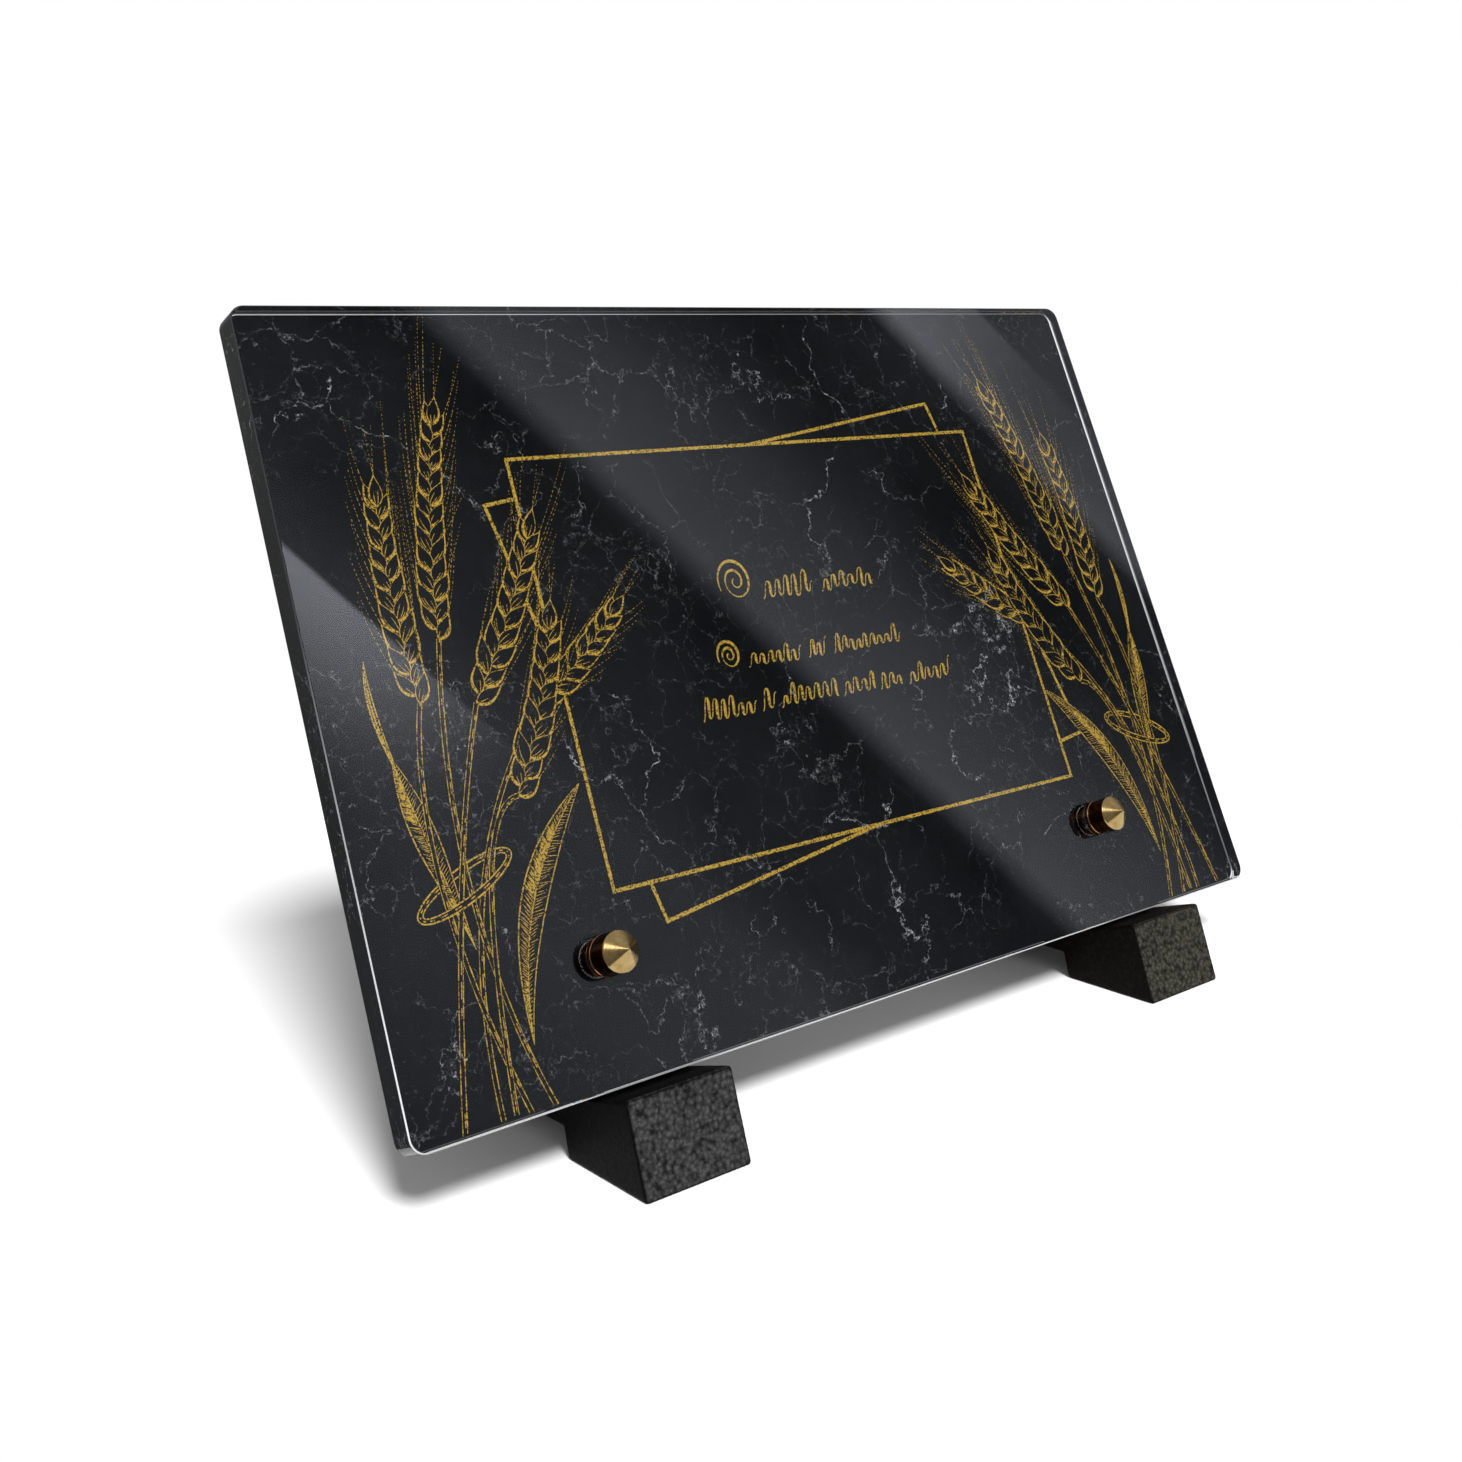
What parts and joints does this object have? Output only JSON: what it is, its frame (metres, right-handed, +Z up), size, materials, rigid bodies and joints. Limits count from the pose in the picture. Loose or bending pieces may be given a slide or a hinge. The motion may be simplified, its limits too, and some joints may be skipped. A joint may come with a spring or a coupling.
{
  "type": "grave plaque",
  "caption": "Leaning memorial plaque: a clear slab with a dark marble-look print on its back, held on small granite feet by pointed brass screws.",
  "frame": {"origin": "on the ground under the middle of the whole plaque, feet standing at Z = 0", "axes": "+X along the slab's width to the viewer's right, front towards -Y, +Z up"},
  "size_m": [0.3, 0.0991, 0.2056],
  "materials": {
    "clear_acrylic": "clear polished acrylic over a dark printed back",
    "granite": "sawn and honed sides, bush-hammered front face",
    "brass": "turned, satin",
    "marble_print": "near-black marble-look print with pale broken veins",
    "gold_print": "flat gold print, grainy"
  },
  "bodies": {
    "root": {"plate": "clear_acrylic", "left_foot": "granite", "right_foot": "granite", "left_screw": "brass", "right_screw": "brass"}
  },
  "joints": []
}
